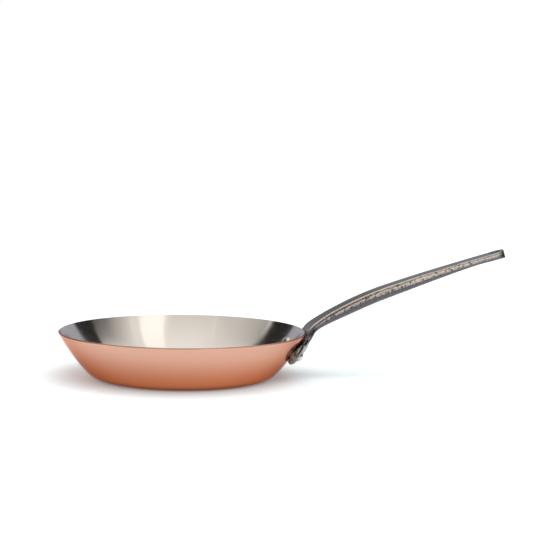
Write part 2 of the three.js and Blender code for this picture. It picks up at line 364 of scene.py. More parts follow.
# Widths and thicknesses. The neck's root is a share of the flange's thickness.
NECK_FLARE = 17 * MM
NECK_ROOT = 0.85
NECK_THICKNESS = 6.6 * MM
BEND_THICKNESS = 9.2 * MM
WAIST_THICKNESS = 7.4 * MM
TIP_THICKNESS = 8.5 * MM

# Rings along the handle to the tip's start, and round the tip.
GRIP_RINGS = 440
TIP_RINGS = 25

# The section of the grip and of the neck. The shoulder lies at a share of the thickness.
GRIP_CROWN = 0.4 * MM
GRIP_SQUARENESS = 2.3
NECK_SQUARENESS = 4
ARRIS_BEVEL = 0.9 * MM
ARRIS_EASE = 0.25 * MM
SHOULDER_SHARE = 0.37
NECK_SIDE_SHARE = 0.8
SHOULDER_SWELL = 1.3 * MM
TIP_SWELL_LOSS = 0.5
GROOVE_FALL = 2.2 * MM
GROOVE_WIDTH = 0.3 * GROOVE_FALL
GROOVE_DEPTH = 0.3 * MM

# Points across half the back and down a side, across the underside, round the section while its edges are
# eased, to either side in easing, and round a finished ring.
SIDE_STEPS = 40
UNDER_STEPS = 158
FINE_STEPS = 1200
EASE_STEPS = 40
RING_STEPS = 144

# Wear, partly real rubbing and partly painted highlight: how far it reaches below the shoulder near the neck
# and at the tip, how much the arris loses to the tip, how dull the groove stays as a painted shade, how much
# more high pebbles have as painted glints, and the share near the neck.
SHOULDER_WEAR_AND_HIGHLIGHT = 0.7 * MM
TIP_WEAR_AND_HIGHLIGHT = 1.3 * MM
ARRIS_FADE = 0.5
GROOVE_DULL_AND_SHADED = 1.85
PEBBLE_WEAR_AND_GLINT = 1.45
FIRST_POLISH_AND_HIGHLIGHT = 0.85

# The pebbles of the sand-cast skin: their size, and their top and middle height as shares of their depth.
PEBBLE_SIZE = 2.2 * MM
PEBBLE_TOP = 0.3
PEBBLE_MIDDLE = 0.1

# The hanging eye: the rounding of its lips, and how far they lie below the back and above the underside.
EYE_LIP = 2.6 * MM
EYE_TOP_DROP = 0.1 * MM
EYE_UNDER_RISE = 0.4 * MM
EYE_STEPS = 64
LIP_STEPS = 8

# The crease between neck and flange: how sharp an edge is eased, how many points round it, and how often.
CREASE_ANGLE = math.radians(24)
CREASE_REACH = 4
CREASE_ROUNDS = 10

# The pan's space, which is cut from the handle, and the angle from which an edge looks sharp.
PAN_SPACE_STEPS = 240
SHARP_EDGE = math.radians(50)


def pebble_height(point):
    """How far the as-cast skin stands out at a point, by the round grains of the mould."""
    distances = noise.voronoi(Vector(point) / PEBBLE_SIZE)[0]
    return PEBBLE_TOP - distances[0] ** 2


def flange_ring(seat, handle, sideways, steps=40):
    """One section of the flange: round ears, a low foot, filleted shoulders, and a rounded outer face."""
    distance = abs(sideways)
    ear = math.sqrt(max(handle.ear_radius**2 - max(distance - seat.ear_reach, 0) ** 2, 0))
    foot = 1 - smoothstep(distance, (0, seat.ear_reach))
    low = lerp(seat.ear_up - ear, -FOOT_DEPTH, foot)
    high = seat.ear_up + ear + FILLET_RISE * (1 - smoothstep(distance, FILLET_SPREAD))
    inner = -seat.dish.size.copper_sheet
    outer = SEAT_GAP + seat.plate(handle, sideways)
    rough = 1 - smoothstep(distance, EAR_SMOOTHS, seat.ear_reach)
    ring = []
    for angle in np.linspace(0, math.pi, steps):
        across = math.copysign(abs(math.cos(angle)) ** (2 / FLANGE_SQUARENESS), math.cos(angle))
        rise = abs(math.sin(angle)) ** (2 / FLANGE_SQUARENESS)
        up = lerp(low, high, (1 + across) / 2)
        point = seat.point(sideways, up, lerp(inner, outer, rise))
        outward = seat.point(sideways, up, 1) - seat.point(sideways, up, 0)
        ring.append(point + outward * (pebble_height(point) * handle.pebble_depth * rise * rough))
    return ring


def flange(seat, handle, materials):
    """The winged flange, not yet cut to the wall."""
    reach = seat.ear_reach + handle.ear_radius
    turns = np.linspace(-FLANGE_END, FLANGE_END, FLANGE_RINGS) * math.pi
    points, faces = lofted([flange_ring(seat, handle, reach * math.sin(turn)) for turn in turns])
    return new_piece("flange", points, faces, materials, [GROUND_SLOT] * len(faces))


class BackLine:
    """The handle's back: up the wall from the low rivet, over the bend past the rim, and out to the tip."""

    def __init__(self, seat, handle):
        rim, height = seat.dish.rim, seat.dish.size.height
        knots = [seat.point(0, 0, 0), seat.point(0, seat.rim_up / 2, 0)]
        knots.append(seat.point(0, seat.rim_up, RIM_CLEARANCE))
        for out, up in BACK_SHAPE:
            knots.append(np.array([rim + out * handle.reach, 0, height + up * handle.rise]))
        # A knot before the first and one after the last give the curve its directions there.
        knots = [2 * knots[0] - knots[1], *knots, 2 * knots[-1] - knots[-2]]
        line = [knots[1]]
        for a, b, c, d in zip(knots, knots[1:], knots[2:], knots[3:]):
            before, span, after = (math.sqrt(np.linalg.norm(q - p)) for p, q in ((a, b), (b, c), (c, d)))
            leave = span * ((b - a) / before - (c - a) / (before + span) + (c - b) / span)
            arrive = span * ((c - b) / span - (d - b) / (span + after) + (d - c) / after)
            for t in np.linspace(0, 1, SPAN_STEPS)[1:]:
                stay = (2 * t**3 - 3 * t**2 + 1) * b + (3 * t**2 - 2 * t**3) * c
                line.append(stay + (t**3 - 2 * t**2 + t) * leave + (t**3 - t**2) * arrive)
        self.line = np.array(line)
        steps = np.linalg.norm(np.diff(self.line, axis=0), axis=1)
        self.run = np.concatenate([[0], np.cumsum(steps)])
        self.length = self.run[-1]

    def at(self, along):
        """The point at a distance along the back, and the direction down from it into the handle."""
        step = 0.2 * MM
        point, before, after = (
            np.array([np.interp(a, self.run, self.line[:, axis]) for axis in range(3)])
            for a in (along, max(along - step, 0), min(along + step, self.length))
        )
        ahead = (after - before) / np.linalg.norm(after - before)
        return point, np.array([ahead[2], 0, -ahead[0]])


def grip_half_width(seat, handle, back, along):
    """Half the handle's full width at a distance along the back, before the tip is rounded."""
    flare = math.exp(-max(along - seat.rim_up, 0) / NECK_FLARE)
    taper = smoothstep(along, GRIP_TAPERS, back.length)
    width = lerp(handle.grip_width, handle.tip_width, taper)
    return lerp(width, handle.root_width, flare) / 2


def grip_depth(seat, handle, back, along):
    """The handle's thickness at a distance along the back."""
    share = along / back.length
    root = NECK_ROOT * handle.flange_thickness
    neck = lerp(root, NECK_THICKNESS, smoothstep(along, NECK_THINS, seat.rim_up))
    bend = lerp(neck, BEND_THICKNESS, smoothstep(along, BEND_THICKENS, seat.rim_up))
    swell = min(max((share - GRIP_SWELL_START) / GRIP_SWELL_RUN, 0), 1)
    middle = lerp(bend, handle.grip_thickness, swell * (2 - swell))
    waist = lerp(middle, WAIST_THICKNESS, smoothstep(share, WAIST_THINS))
    return lerp(waist, TIP_THICKNESS, smoothstep(share, TIP_SMOOTHS))


def grip_outline(full, half, crown, depth, neck, share):
    """A section of the grip, as rows of side, fall below the back, how far as cast, and how far rubbed bright
    with painted highlights.

    A flat back ends in an arris. Below it the side draws in to a groove, swells to a shoulder and rounds
    under. From the arris to the shoulder it is rubbed bright, partly as wear and partly as painted highlight,
    and further below towards the tip, where the groove is no longer dull; nearer the neck the groove keeps a
    painted shade. The neck's sides are flat."""
    shoulder_fall = lerp(SHOULDER_SHARE, NECK_SIDE_SHARE, neck) * depth
    squareness = lerp(GRIP_SQUARENESS, NECK_SQUARENESS, neck)
    swell = SHOULDER_SWELL * (1 - neck) * (1 - TIP_SWELL_LOSS * smoothstep(share, TIP_SMOOTHS))

    narrow = half / full
    top = np.linspace(0, half - narrow * (ARRIS_BEVEL + swell / 2), SIDE_STEPS)
    rise = crown * (top / full) ** 2
    falls = np.linspace(0, 1, SIDE_STEPS)
    groove = (1 - neck) * np.exp(-(((falls * shoulder_fall - GROOVE_FALL) / GROOVE_WIDTH) ** 2))
    bevel = np.clip(ARRIS_BEVEL - falls * shoulder_fall, 0, None)
    wall = half + narrow * (swell * (falls**2 - 0.5) - GROOVE_DEPTH * groove - bevel)
    wall_fall = rise[-1] + (crown + shoulder_fall - rise[-1]) * falls
    across = (half + narrow * swell / 2) * np.cos(np.linspace(0, math.pi, UNDER_STEPS + 2)[1:-1])
    bulge = np.clip(1 - np.abs(across / (full + swell / 2)) ** squareness, 0, 1) ** (1 / squareness)
    under = crown + shoulder_fall + (depth - crown - shoulder_fall) * bulge
    side = np.concatenate([top, wall, across, -wall[::-1], -top[::-1]])
    fall = np.concatenate([rise, wall_fall, under, wall_fall[::-1], rise[::-1]])

    ground = np.concatenate([np.ones(SIDE_STEPS), bevel > 0])
    cast = 1 - np.concatenate([ground, np.zeros(UNDER_STEPS), ground[::-1]])

    unworn = np.zeros(SIDE_STEPS)
    arris = 1 - ARRIS_FADE * smoothstep(share, ARRIS_FADES)
    # In the groove the rubbed colour is held back near the neck: unworn iron, and a painted shade in the
    # groove.
    rubbed_and_highlit = np.where(bevel > 0, arris, (1 - neck) * (1 - GROOVE_DULL_AND_SHADED * (1 - share) ** 2 * groove))
    wear_and_highlight_reach = lerp(SHOULDER_WEAR_AND_HIGHLIGHT, TIP_WEAR_AND_HIGHLIGHT, smoothstep(share, WEAR_AND_HIGHLIGHT_DEEPENS))
    below = np.exp(-(((under - crown - shoulder_fall) / wear_and_highlight_reach) ** 2))
    wear_and_highlight = np.concatenate([unworn, rubbed_and_highlit, (1 - neck) * below, rubbed_and_highlit[::-1], unworn])
    return evened(np.array([side, fall, cast, wear_and_highlight]))


def evened(rows):
    """The rows of a grip's section with its points spaced evenly round it and its edges eased."""
    run = np.concatenate([[0], np.cumsum(np.hypot(np.diff(rows[0]), np.diff(rows[1])))])
    places = np.linspace(0, run[-1], FINE_STEPS, endpoint=False)
    fine = np.array([np.interp(places, run, row) for row in rows])
    reach = np.arange(-EASE_STEPS, EASE_STEPS + 1)
    weights = np.exp(-0.5 * (reach * run[-1] / FINE_STEPS / ARRIS_EASE) ** 2)
    padded = np.concatenate([fine[:, -EASE_STEPS:], fine, fine[:, :EASE_STEPS]], axis=1)
    soft = np.array([np.convolve(row, weights / weights.sum(), "valid") for row in padded])
    chosen = np.round(np.linspace(0, FINE_STEPS, RING_STEPS, endpoint=False)).astype(int)
    return soft[:, chosen]


def grip(seat, handle, back, materials):
    """Neck, grip and round tip as one skin along the back, with its wear and painted highlights stored at the
    points.
    """
    tip_half = handle.tip_width / 2
    tip_start = back.length - tip_half
    turns = np.linspace(0, TIP_END * math.pi, TIP_RINGS + 1)[1:]
    alongs = [*np.linspace(0, tip_start, GRIP_RINGS), *(tip_start + tip_half * np.sin(turns))]
    rings, cast, wear_and_highlight = [], [], []
    for along in alongs:
        share = along / back.length
        point, down = back.at(along)
        full = grip_half_width(seat, handle, back, along)
        half = full * math.sqrt(1 - max((along - tip_start) / tip_half, 0) ** 2)
        depth = grip_depth(seat, handle, back, along)
        # At the wall the back is hollow, as the wall is round.
        wrap = -(full**2) / (2 * seat.radius)
        crown = lerp(wrap, GRIP_CROWN, smoothstep(along, CROWN_STARTS, seat.rim_up))
        neck = 1 - smoothstep(along, NECK_ENDS, seat.rim_up)
        outline = grip_outline(full, half, crown, depth, neck, share)
        middle = np.array([0, outline[1].mean()])
        polish_and_highlight = lerp(FIRST_POLISH_AND_HIGHLIGHT, 1, smoothstep(share, POLISH_AND_HIGHLIGHT_GROWS))
        polish_and_highlight *= smoothstep(along, POLISH_AND_HIGHLIGHT_STARTS, seat.rim_up)
        pebbled = 1 - smoothstep(share, TIP_SMOOTHS)
        ring = []
        for side, fall, skin, rubbed_and_highlit in outline.T:
            spot = point + down * fall + np.array([0, side, 0])
            spread = np.array([side, fall]) - middle
            spread /= np.linalg.norm(spread)
            outward = np.array([0, spread[0], 0]) + down * spread[1]
            high = skin * pebbled * pebble_height(spot)
            ring.append(spot + outward * (high * handle.pebble_depth))
            # High pebbles get more wear and a brighter colour: partly real rubbing, partly painted glints.
            wear_and_highlight.append(polish_and_highlight * rubbed_and_highlit * (1 + PEBBLE_WEAR_AND_GLINT * (high - PEBBLE_MIDDLE * skin)))
        rings.append(ring)
        cast.append(outline[2])
    points, faces = lofted(rings)
    slots = [CAST_SLOT if skin > 0.5 else GROUND_SLOT for row in cast[:-1] for skin in row]
    slots += [CAST_SLOT] * (len(faces) - len(slots))
    piece = new_piece("handle", points, faces, materials, slots)
    # The last two points are the hubs of the end fans: the unworn root, the tip worn and painted bright.
    wear_and_highlight += [0, 1]
    piece.data.attributes.new("wear_and_highlight", "FLOAT", "POINT").data.foreach_set("value", wear_and_highlight)
    return piece


def ease_crease(piece):
    """Rounds the inner corner where the neck grows out of the flange."""
    shell = bmesh.new()
    shell.from_mesh(piece.data)
    sharp = [e for e in shell.edges if e.is_manifold and e.calc_face_angle() > CREASE_ANGLE]
    near = {v for e in sharp for v in e.verts}
    for _ in range(CREASE_REACH):
        near |= {e.other_vert(v) for v in near for e in v.link_edges}
    for _ in range(CREASE_ROUNDS):
        bmesh.ops.smooth_vert(
            shell, verts=list(near), factor=0.5, use_axis_x=True, use_axis_y=True, use_axis_z=True
        )
    shell.to_mesh(piece.data)
    shell.free()


def rivet_places(seat, handle):
    """Name, point on the wall, outward direction and tail seat of each rivet."""
    spots = {
        "rivet_left": (seat.ear_reach, seat.ear_up),
        "rivet_right": (-seat.ear_reach, seat.ear_up),
        "rivet_low": (0, 0),
    }
    for name, (sideways, up) in spots.items():
        point = seat.point(sideways, up, 0)
        outward = Vector(seat.point(sideways, up, 1) - point).normalized()
        yield name, point, outward, SEAT_GAP + seat.plate(handle, sideways) - SPOT_FACE_DEPTH


def laid(points, point, outward):
    """Points drawn along +Z, turned to point outward and moved to a place."""
    turn = Vector((0, 0, 1)).rotation_difference(outward)
    return [turn @ Vector(p) + Vector(point) for p in points]


def eye_cutter(handle, back, materials):
    """The space of the hanging eye, flared at both ends to leave rounded lips."""
    radius = handle.eye_diameter / 2
    mouth = radius + EYE_LIP
    reach = 2 * TIP_THICKNESS
    point, down = back.at(back.length - handle.tip_width / 2)
    turns = np.linspace(math.pi / 2, 0, LIP_STEPS)
    lip = [(radius + EYE_LIP * (1 - math.sin(a)), EYE_LIP * math.cos(a)) for a in turns]
    top = -EYE_TOP_DROP - EYE_LIP
    bottom = -(TIP_THICKNESS - EYE_UNDER_RISE) + EYE_LIP
    line = [(0, reach), (mouth, reach), *[(r, top + z) for r, z in lip[::-1]]]
    line += [*[(r, bottom - z) for r, z in lip], (mouth, -reach), (0, -reach)]
    points, faces = turned(line, EYE_STEPS)
    slots = [CAST_SLOT] * len(faces)
    return new_piece("eye_cutter", laid(points, point, Vector(-down)), faces, materials, slots)


# Materials

# The tint of copper at a grazing angle, and the dark hollows of the sand-cast skin.
COPPER_GRAZING_TINT = "#dcb9ad"
IRON_HOLLOWS = "#4c4446"

# Noise mostly gives shades between these two.
NOISE_LOW = 0.3
NOISE_HIGH = 0.7


def add_node(material, kind, inputs=None, **settings):
    """Adds a node with its settings, and gives its inputs values or links from other nodes' outputs."""
    tree = material.node_tree
    node = tree.nodes.new(kind)
    for name, value in settings.items():
        setattr(node, name, value)
    for socket, value in (inputs or {}).items():
        if isinstance(value, bpy.types.NodeSocket):
            tree.links.new(value, node.inputs[socket])
        else:
            node.inputs[socket].default_value = value
    return node


def new_material(name):
    material = bpy.data.materials.new(name)
    material.use_nodes = True
    material.node_tree.nodes.clear()
    return material


def noise_spread(shade, low, high):
    """Inputs that spread the shades of a noise from low to high."""
    return {0: shade, 1: NOISE_LOW, 2: NOISE_HIGH, 3: low, 4: high}


def brush_lines(material, spacing, run):
    """Lines that circle the pan's axis, this far apart and about this long, as shades from 0 to 1."""
    place = add_node(material, "ShaderNodeTexCoord").outputs["Object"]
    inputs = {0: place, 1: (1, 1, 0)}
    flat = add_node(material, "ShaderNodeVectorMath", inputs, operation="MULTIPLY").outputs[0]
    radius = add_node(material, "ShaderNodeVectorMath", {0: flat}, operation="LENGTH").outputs["Value"]
    height = add_node(material, "ShaderNodeSeparateXYZ", {0: place}).outputs["Z"]
    up = add_node(material, "ShaderNodeMath", {0: radius, 1: height}, operation="ADD").outputs[0]
    inputs = {0: up, 1: 1 / spacing}
    rows = add_node(material, "ShaderNodeMath", inputs, operation="MULTIPLY").outputs[0]
    tall = add_node(material, "ShaderNodeCombineXYZ", {2: rows}).outputs[0]
    inputs = {0: flat, 1: (1 / run,) * 3, 2: tall}
    stretched = add_node(material, "ShaderNodeVectorMath", inputs, operation="MULTIPLY_ADD").outputs[0]
    inputs = {"Vector": stretched, "Scale": 1.0, "Detail": 3.0}
    return add_node(material, "ShaderNodeTexNoise", inputs).outputs[0]


def height_share(material, low, high):
    """How high a place is, from 0 at one height to 1 at another."""
    place = add_node(material, "ShaderNodeTexCoord").outputs["Object"]
    height = add_node(material, "ShaderNodeSeparateXYZ", {0: place}).outputs["Z"]
    inputs = {0: height, 1: low, 2: high}
    return add_node(material, "ShaderNodeMapRange", inputs, interpolation_type="SMOOTHSTEP").outputs[0]


def metal_finish(material, pattern, looks, depth, strength, roughness):
    """Finishes a metal with its own looks, and with a bump and a range of roughness that follow a pattern."""
    inputs = {"Strength": strength, "Distance": depth, "Height": pattern}
    bump = add_node(material, "ShaderNodeBump", inputs).outputs[0]
    rough = add_node(material, "ShaderNodeMapRange", noise_spread(pattern, *roughness)).outputs[0]
    inputs = {"Metallic": 1.0, "Roughness": rough, "Normal": bump, **looks}
    shader = add_node(material, "ShaderNodeBsdfPrincipled", inputs)
    add_node(material, "ShaderNodeOutputMaterial", {"Surface": shader.outputs[0]})
    return material


def polished_spun_copper(colours):
    """Spun copper sheet, polished on the lathe: clear reflections, and painted bounce light that makes it
    warmer and redder round the base.
    """
    material = new_material("polished_spun_copper")
    # Real polishing lines are about 0.05 mm apart, too fine to show, so they are drawn 0.5 mm apart.
    lines = brush_lines(material, spacing=0.5 * MM, run=60 * MM)
    tangent = add_node(material, "ShaderNodeTangent", direction_type="RADIAL", axis="Z")
    # Painted reflection: the copper turns warmer and redder towards the base, where the shaded floor and
    # copper-tinted bounce light would show in it.
    height = height_share(material, low=2 * MM, high=40 * MM)
    inputs = {0: height, "A": (*colours.warm_copper, 1), "B": (*colours.copper, 1)}
    tone = add_node(material, "ShaderNodeMix", inputs, data_type="RGBA")
    looks = {
        "Base Color": tone.outputs["Result"],
        "Specular Tint": (*linear(COPPER_GRAZING_TINT), 1),
        "Anisotropic": 0.5,
        "Anisotropic Rotation": 0.25,
        "Tangent": tangent.outputs[0],
    }
    return metal_finish(material, lines, looks, depth=0.05 * MM, strength=0.02, roughness=(0.15, 0.2))


def circle_brushed_stainless_steel(colours):
    """Stainless steel sheet brushed in circles: reflections sharp sideways and drawn out up the wall."""
    material = new_material("circle_brushed_stainless_steel")
    # Real brush lines are about 0.05 mm apart, too fine to show, so they are drawn 0.6 mm apart.
    lines = brush_lines(material, spacing=0.6 * MM, run=70 * MM)
    tangent = add_node(material, "ShaderNodeTangent", direction_type="RADIAL", axis="Z")
    looks = {
        "Base Color": (*colours.steel, 1),
        "Anisotropic": 0.95,
        "Anisotropic Rotation": 0.25,
        "Tangent": tangent.outputs[0],
    }
    return metal_finish(material, lines, looks, depth=0.05 * MM, strength=0.035, roughness=(0.13, 0.19))


def metal_grain(material, size):
    """Uneven grain or dents of about this size, as shades from 0 to 1."""
    place = add_node(material, "ShaderNodeTexCoord").outputs["Object"]
    inputs = {"Vector": place, "Scale": 1 / size, "Detail": 4.0, "Roughness": 0.6}
    return add_node(material, "ShaderNodeTexNoise", inputs).outputs[0]


def rubbed_share(material, grain):
    """How far hands and tools have rubbed the iron bright, and where highlights are painted on: first on the
    high spots of the grain.
    """
    wear_and_highlight = add_node(material, "ShaderNodeAttribute", attribute_name="wear_and_highlight").outputs["Fac"]
    high = add_node(material, "ShaderNodeMapRange", noise_spread(grain, -0.2, 0.2)).outputs[0]
    worn_and_highlit = add_node(material, "ShaderNodeMath", {0: wear_and_highlight, 1: high}, operation="ADD").outputs[0]
    return add_node(material, "ShaderNodeMapRange", {0: worn_and_highlit, 1: 0.2, 2: 0.9}).outputs[0]


def ground_waxed_cast_iron(colours):
    """Cast iron ground smooth and waxed: dark grey with a soft sheen, bright where its edge is rubbed and
    given a painted highlight.
    """
    material = new_material("ground_waxed_cast_iron")
    grain = metal_grain(material, size=2.5 * MM)
    rubbed_and_highlit = rubbed_share(material, grain)
    # The rubbed colour is partly wear and partly a painted highlight along the arris.
    inputs = {0: rubbed_and_highlit, "A": (*colours.ground_iron, 1), "B": (*colours.rubbed_iron, 1)}
    tone = add_node(material, "ShaderNodeMix", inputs, data_type="RGBA")
    looks = {"Base Color": tone.outputs["Result"]}
    return metal_finish(material, grain, looks, depth=0.1 * MM, strength=0.1, roughness=(0.24, 0.34))


def sand_cast_iron(colours):
    """Cast iron as it leaves the sand: a dark pebbled skin, its high spots rubbed bright on the edges and
    painted with glints.
    """
    material = new_material("sand_cast_iron")
    grain = metal_grain(material, size=1.1 * MM)
    raised = add_node(material, "ShaderNodeMapRange", noise_spread(grain, 0, 1)).outputs[0]
    inputs = {0: raised, "A": (*linear(IRON_HOLLOWS), 1), "B": (*colours.cast_iron, 1)}
    skin = add_node(material, "ShaderNodeMix", inputs, data_type="RGBA").outputs["Result"]
    # The rubbed colour is partly wear and partly painted highlights and glints on the edges and high pebbles.
    inputs = {0: rubbed_share(material, grain), "A": skin, "B": (*colours.rubbed_iron, 1)}
    tone = add_node(material, "ShaderNodeMix", inputs, data_type="RGBA")
    looks = {"Base Color": tone.outputs["Result"]}
    return metal_finish(material, grain, looks, depth=0.15 * MM, strength=0.3, roughness=(0.4, 0.26))


def upset_buffed_steel(colours):
    """Steel rivet, upset and buffed: a bright dome with small dents from the set."""
    material = new_material("upset_buffed_steel")
    dents = metal_grain(material, size=3 * MM)
    looks = {"Base Color": (*colours.rivet, 1)}
    return metal_finish(material, dents, looks, depth=0.15 * MM, strength=0.12, roughness=(0.14, 0.22))


def shared_material(make):
    """The material that a function of the same name makes, made once."""
    return bpy.data.materials.get(make.__name__) or make(bpy.context.scene.pan_colours)


# The pieces

# Rivets: how far the head sinks into the hollow of the wall, as a share of its depth, how full head and tail
# are, the slope of the head's underside, and how finely the profile is divided and turned.
HEAD_SINK = 0.4
HEAD_FULLNESS = 0.9
TAIL_FULLNESS = 0.8
HEAD_UNDERCUT = 0.3 * MM
DOME_STEPS = 20
RIVET_STEPS = 72


def finish_piece(piece, slot, *nodes):
    """Rides a piece on the pan, in place of its CAD nodes. The slot it is given is not used."""
    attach(piece, "root")
    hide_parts(*nodes)


class PAN_OT_copper_body(bpy.types.Operator):
    """Spins the copper dish, with its rim rounded"""

    bl_idname = "pan.copper_body"
    bl_label = "Copper body"

    def execute(self, context):
        dish = sizes()[0]
        size = dish.size
        points, faces = turned(dish.shell(0, size.copper_sheet, size.rim_ease), DISH_STEPS)
        piece = new_piece("spun_copper_body", points, faces, [shared_material(polished_spun_copper)])
        finish_piece(piece, "copper", "copper_body")
        return {"FINISHED"}


class PAN_OT_steel_lining(bpy.types.Operator):
    """Lays the steel lining inside the copper"""

    bl_idname = "pan.steel_lining"
    bl_label = "Steel lining"

    def execute(self, context):
        dish = sizes()[0]
        start = dish.size.copper_sheet + BOND_GAP
        points, faces = turned(dish.shell(start, start + dish.size.steel_sheet, LINING_EASE), DISH_STEPS)
        material = shared_material(circle_brushed_stainless_steel)
        piece = new_piece("brushed_steel_lining", points, faces, [material])
        finish_piece(piece, "lining_steel", "steel_lining")
        return {"FINISHED"}


class PAN_OT_handle(bpy.types.Operator):
    """Casts the handle: winged flange, neck, grip, round tip and hanging eye"""

    bl_idname = "pan.handle"
    bl_label = "Handle"

    def execute(self, context):
        dish, seat, handle, rivets = sizes()
        materials = [shared_material(ground_waxed_cast_iron), shared_material(sand_cast_iron)]
        back = BackLine(seat, handle)
        piece = grip(seat, handle, back, materials)
        combined(piece, flange(seat, handle, materials), "UNION")
        ease_crease(piece)
        rim_top = dish.place(dish.rim_tilt, dish.size.copper_sheet)
        inside = [*dish.line(-SEAT_GAP), rim_top, (0, rim_top[1])]
        combined(piece, new_piece("pan_space", *turned(inside, PAN_SPACE_STEPS), materials), "DIFFERENCE")
        combined(piece, eye_cutter(handle, back, materials), "DIFFERENCE")
        radius = rivets.tail_diameter / 2 + SPOT_FACE_MARGIN
        for _, point, outward, depth in rivet_places(seat, handle):
            line = [(0, depth), (radius, depth), (radius, 3 * depth), (0, 3 * depth)]
            points, faces = turned(line, SPOT_FACE_STEPS)
            cutter = new_piece("spot_face", laid(points, point, outward), faces, materials)
            combined(piece, cutter, "DIFFERENCE")
        piece.data.shade_smooth()
        piece.data.set_sharp_from_angle(angle=SHARP_EDGE)
        finish_piece(piece, "cast_iron", "handle")
        return {"FINISHED"}


class PAN_OT_rivets(bpy.types.Operator):
    """Sets the three rivets, heads inside the pan and tails on the flange"""

    bl_idname = "pan.rivets"
    bl_label = "Rivets"

    def execute(self, context):
        dish, seat, handle, rivets = sizes()
        sheet = dish.size.copper_sheet + dish.size.steel_sheet + BOND_GAP
        # How far the round wall falls away under a head's edge.
        hollow = rivets.head_diameter**2 / (8 * (dish.wall(rivets.low_height)[0] - sheet))
        under = -sheet - HEAD_SINK * hollow
        head, tail = rivets.head_diameter / 2, rivets.tail_diameter / 2
        shank = rivets.shank_diameter / 2
        turns = np.linspace(0, math.pi / 2, DOME_STEPS)
        material = shared_material(upset_buffed_steel)
        for name, point, outward, depth in rivet_places(seat, handle):
            line = [
                (head * math.sin(a) ** HEAD_FULLNESS, under - rivets.head_height * math.cos(a)) for a in turns
            ]
            line += [(shank, under + HEAD_UNDERCUT), (shank, depth)]
            line += [
                (tail * math.cos(a) ** TAIL_FULLNESS, depth + rivets.tail_height * math.sin(a)) for a in turns
            ]
            line[0], line[-1] = (0, line[0][1]), (0, line[-1][1])
            points, faces = turned(line, RIVET_STEPS)
            piece = new_piece(f"set_{name}", laid(points, point, outward), faces, [material])
            piece.data.set_sharp_from_angle(angle=SHARP_EDGE)
            finish_piece(piece, "rivet_steel", name)
        return {"FINISHED"}


# The studio

CAMERA_PLACE = (-0.06918, -1.58335, 0.26488)
CAMERA_AIM = (0.09549, -0.00081, 0.09625)
CAMERA_ROLL = math.radians(0.8634)
CAMERA_LENS = 104.14
CAMERA_SENSOR = 36
CAMERA_CLIP = 100
STUDIO_REACH = 2.0
FLOOR_REACH = 8
FLOOR_LEVEL = -0.1 * MM
PAPER_LIFT = 0.16
ROOM_LIGHT = 0.85
SOFT_SUN = 1.3
SOFT_SUN_SPREAD = math.radians(60)
SOFT_SUN_TILT = math.radians(24)
SOFT_SUN_TURN = math.radians(30)

# Studio panels by their colour and the azimuth, elevation and shade of their corners. Azimuth is 0 towards
# the camera and grows to the right, in degrees. Each panel stands a little nearer than the last.
PANELS = {
    "front_screen": ("#ffffff", (-40, 42, 0.72), (24, 42, 0.74), (60, 80, 1.2), (-60, 80, 1.2)),
    "right_screen": ("#ffffff", (54, 36, 0.78), (83, 28, 0.1), (107, 44, 0.26), (84, 60, 0.95)),
    "right_shade": ("#ffffff", (83, 28, 0.1), (113, 12, 0.02), (122, 36, 0.03), (107, 44, 0.26)),
    "left_screen": ("#ffffff", (-40, 42, 0.72), (-106, 24, 0.42), (-115, 46, 0.45), (-60, 70, 1.05)),
    "back_screen": ("#ffffff", (150, 28, 0.25), (210, 28, 0.25), (215, 62, 0.6), (145, 62, 0.6)),
    "back_wall": ("#ffffff", (172, 0, 0.3), (188, 0, 0.3), (188, 28, 0.25), (172, 28, 0.25)),
    "right_wall": ("#e9eeff", (127, 0, 0.52), (172, 0, 0.52), (172, 28, 0.52), (136, 34, 0.52)),
    "left_wall": ("#e9eeff", (-142, 0, 0.52), (-172, 0, 0.52), (-172, 28, 0.52), (-143, 34, 0.52)),
    "strip_softbox": ("#ffffff", (10, 42, 1.55), (37, 36, 1.55), (82, 70, 1.35), (44, 76, 1.35)),
    "front_grey": ("#fff8f2", (-60, 0, 0.4), (28, 0, 0.4), (28, 35, 0.6), (-60, 36, 0.6)),
    "right_dark": ("#ffffff", (28, 0, 0.03), (113, 0, 0.03), (83, 28, 0.03), (28, 35, 0.03)),
    "right_flag": ("#ffffff", (60, 0, 0.02), (132, 0, 0.02), (139, 48, 0.02), (121, 38, 0.02)),
    "left_flag": ("#ffffff", (-106, 2, 0.02), (-145, 0, 0.02), (-145, 48, 0.02), (-116, 46, 0.02)),
}
PANEL_GAP = 0.01
PANEL_STEPS = 12

# A low black board before the pan: its distance from the axis, its two ends, height and shade.
BOARD_DISTANCE = 0.24
BOARD_ENDS = (-0.55, 0.04)
BOARD_HEIGHT = 0.15
BOARD_SHADE = 0.02


def seen_share(owner):
    """1 for what the camera sees, itself or in metal or glass, and 0 for light on matt surfaces."""
    path = add_node(owner, "ShaderNodeLightPath")
    seen = path.outputs["Is Camera Ray"]
    for ray in ("Is Glossy Ray", "Is Transmission Ray"):
        inputs = {0: seen, 1: path.outputs[ray]}
        seen = add_node(owner, "ShaderNodeMath", inputs, operation="MAXIMUM").outputs[0]
    inputs = {0: path.outputs["Diffuse Depth"], 1: 0.5}
    first = add_node(owner, "ShaderNodeMath", inputs, operation="LESS_THAN").outputs[0]
    return add_node(owner, "ShaderNodeMath", {0: seen, 1: first}, operation="MULTIPLY").outputs[0]


